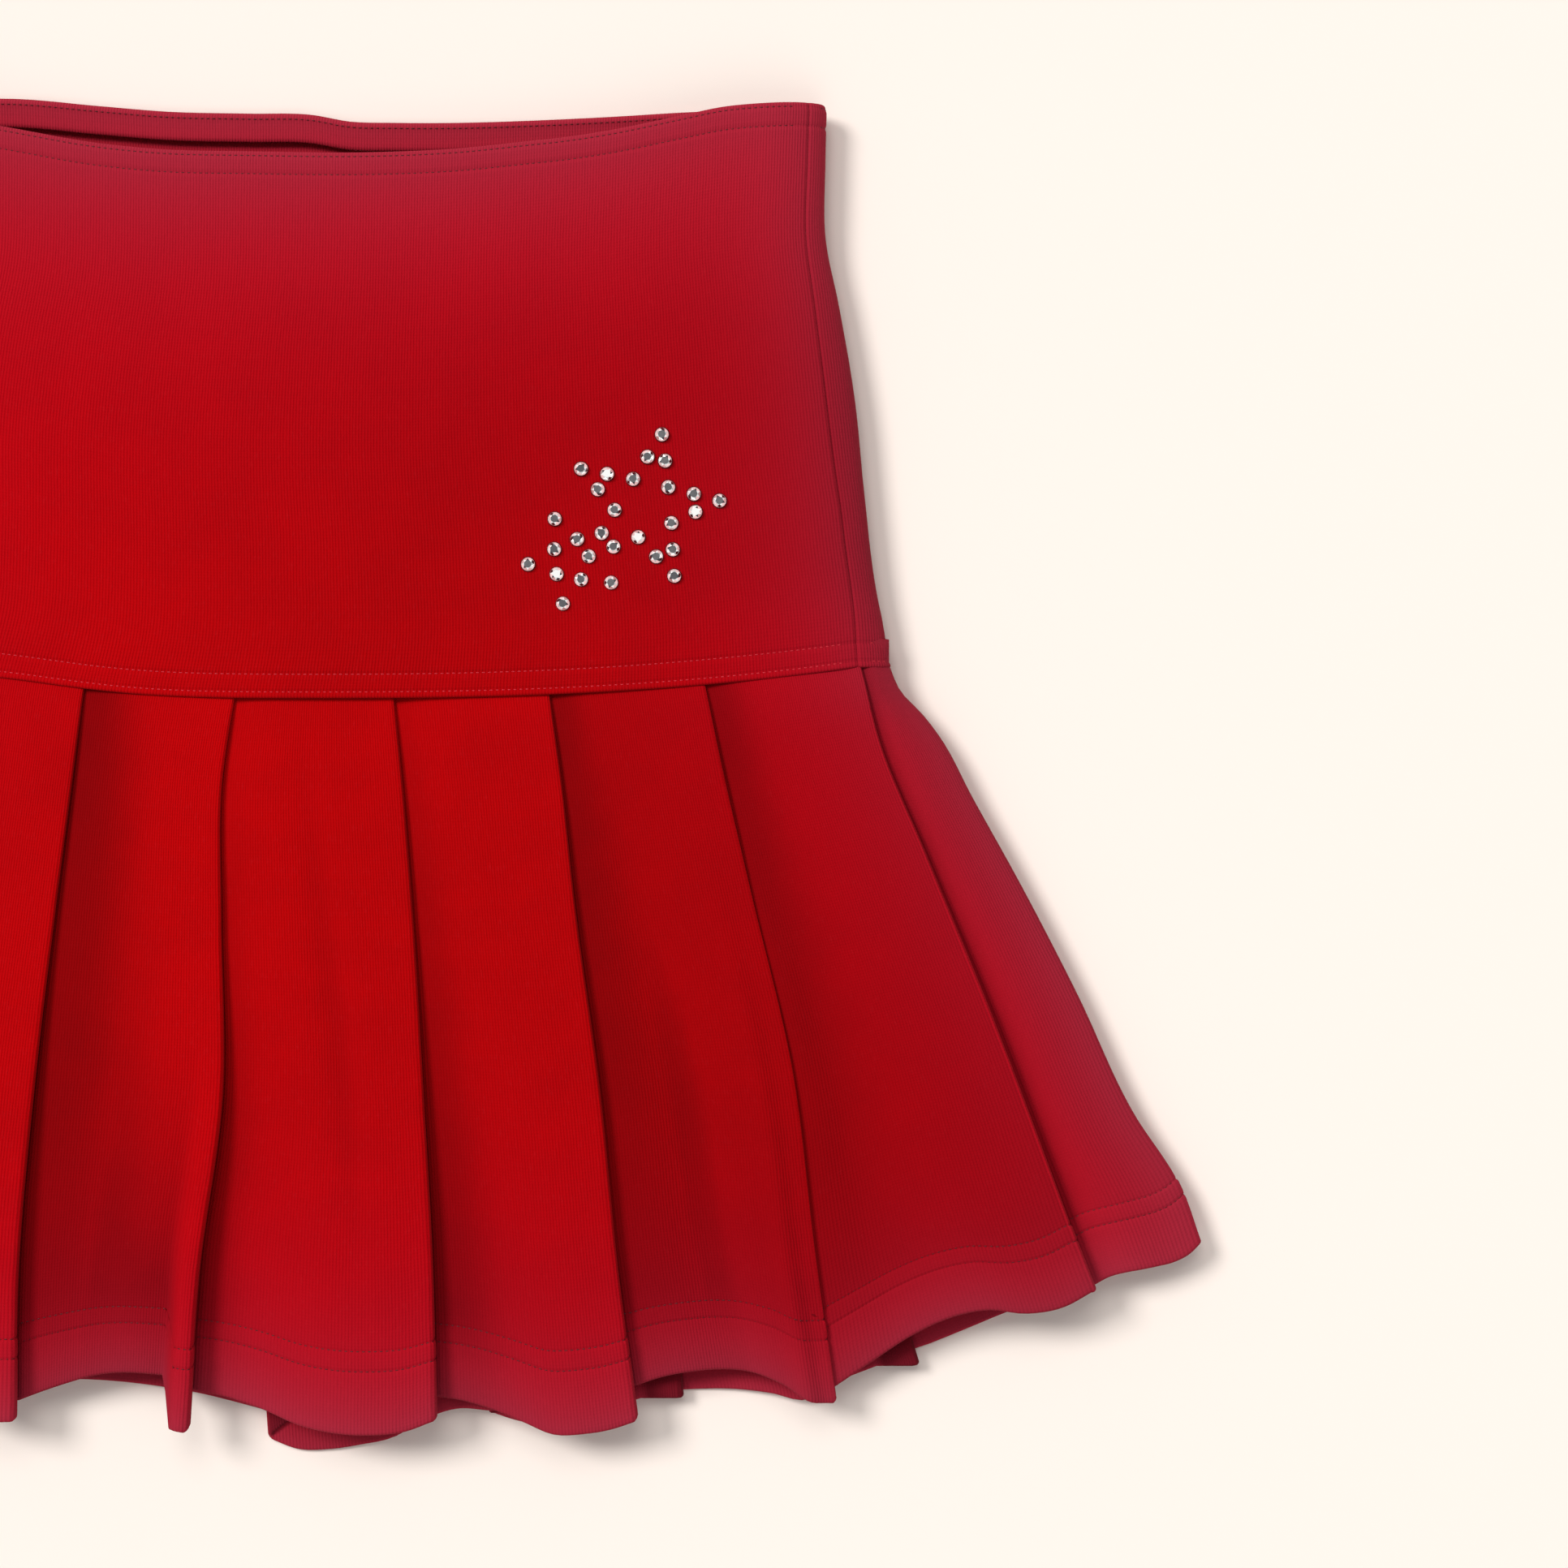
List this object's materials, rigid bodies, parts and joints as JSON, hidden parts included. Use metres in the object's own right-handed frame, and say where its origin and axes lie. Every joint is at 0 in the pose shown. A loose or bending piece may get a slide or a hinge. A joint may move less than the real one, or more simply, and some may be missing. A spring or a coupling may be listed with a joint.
{
  "type": "cheer skirt",
  "caption": "Pull-on cheer skirt lying flat: fitted stretch-knit yoke with an elastic waist, knife-pleated flounce and outline star motifs set in crystal stones.",
  "frame": {"origin": "under the middle of the skirt, on the surface that it lies on", "axes": "+Y towards the waist, +X towards the wearer's left side (the viewer's right, where the stars are), +Z out of the front"},
  "size_m": [0.493, 0.3738, 0.0176],
  "materials": {
    "cloth": "matt red double knit with fine upright ribs",
    "elastic": "white braided elastic",
    "thread": "red polyester sewing thread",
    "stone": "foil-backed faceted crystal"
  },
  "bodies": {
    "root": {"yoke_front": "cloth", "yoke_back": "cloth", "flounce_front": "cloth", "flounce_back": "cloth", "waist_elastic": "elastic", "waist_stitch_upper": "thread", "waist_stitch_lower": "thread", "yoke_stitch_upper": "thread", "yoke_stitch_lower": "thread", "rhinestone_01": "stone", "rhinestone_02": "stone", "rhinestone_03": "stone", "rhinestone_04": "stone", "rhinestone_05": "stone", "rhinestone_06": "stone", "rhinestone_07": "stone", "rhinestone_08": "stone", "rhinestone_09": "stone", "rhinestone_10": "stone", "rhinestone_11": "stone", "rhinestone_12": "stone", "rhinestone_13": "stone", "rhinestone_14": "stone", "rhinestone_15": "stone", "rhinestone_16": "stone", "rhinestone_17": "stone", "rhinestone_18": "stone", "rhinestone_19": "stone", "rhinestone_20": "stone", "rhinestone_21": "stone", "rhinestone_22": "stone", "rhinestone_23": "stone", "rhinestone_24": "stone", "rhinestone_25": "stone", "rhinestone_26": "stone", "rhinestone_27": "stone", "rhinestone_28": "stone"}
  },
  "joints": []
}
